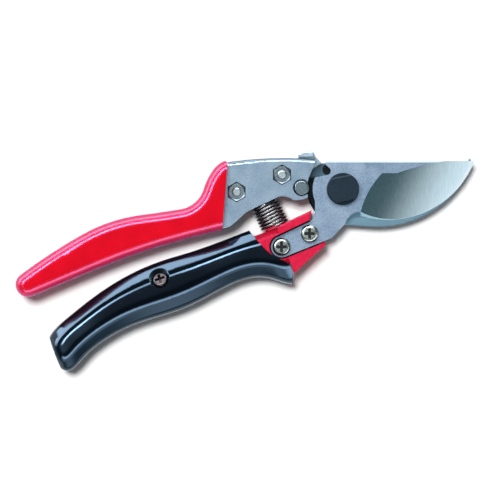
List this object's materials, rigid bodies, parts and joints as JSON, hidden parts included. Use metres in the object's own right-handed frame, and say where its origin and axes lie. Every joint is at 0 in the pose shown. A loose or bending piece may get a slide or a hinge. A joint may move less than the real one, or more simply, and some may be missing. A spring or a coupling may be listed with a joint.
{
  "type": "pruning shears",
  "caption": "Bypass pruning shears with a curved cutting blade, hooked counter blade, coil spring, thumb lock, covered upper handle and revolving lower grip.",
  "frame": {"origin": "on the pivot axis, at the flat end of the pivot bolt, in the plane that the shears lie on", "axes": "+X along the blade's spine towards its tip, +Y towards the upper handle, +Z along the pivot, up from the surface"},
  "size_m": [0.2, 0.0961, 0.0199],
  "materials": {
    "forged_frame": "blasted satin",
    "red_cover": "smooth vinyl",
    "red_paint": "satin coat",
    "blade_steel": "ground",
    "bright_steel": "plated",
    "dark_steel": "blackened",
    "black_plastic": "glossy",
    "bronze": "plain"
  },
  "bodies": {
    "upper_handle": {"upper_frame": "forged_frame", "upper_grip": "red_cover", "counter_blade": "blade_steel", "counter_blade_bolts": "bright_steel", "counter_blade_nuts": "bright_steel", "pivot_bolt": "dark_steel", "pivot_washer": "bright_steel", "pivot_nut": "bright_steel", "lock_pin": "bright_steel", "lock_washer": "bright_steel", "return_spring": "bright_steel"},
    "lower_handle": {"lower_frame": "red_paint", "cutting_blade": "blade_steel", "pivot_bush": "bronze", "blade_screws": "bright_steel", "grip_spindle": "bright_steel", "spindle_pin": "bright_steel"},
    "revolving_grip": {"revolving_grip": "black_plastic", "front_bush": "bronze", "rear_bush": "bronze", "grip_screw": "bright_steel"},
    "lock_lever": {"lock_lever": "forged_frame"}
  },
  "joints": [
    {"name": "handle_pivot", "type": "hinge", "parent": "upper_handle", "child": "lower_handle", "pos_m": [0, 0, 0.01175], "axis": [0, 0, 1], "range_deg": [0, 34], "stiffness_Nm_per_rad": 0.8, "springref_deg": 34.38, "deforming": ["return_spring"]},
    {"name": "grip_swivel", "type": "hinge", "parent": "lower_handle", "child": "revolving_grip", "pos_m": [-0.0267, -0.0251, 0.01], "axis": [-0.9379, -0.3469, 0], "range_deg": [-20, 20]},
    {"name": "lock_turn", "type": "hinge", "parent": "upper_handle", "child": "lock_lever", "pos_m": [-0.018, 0.0006, 0.0114], "axis": [0, 0, 1], "range_deg": [-8, 6]}
  ]
}
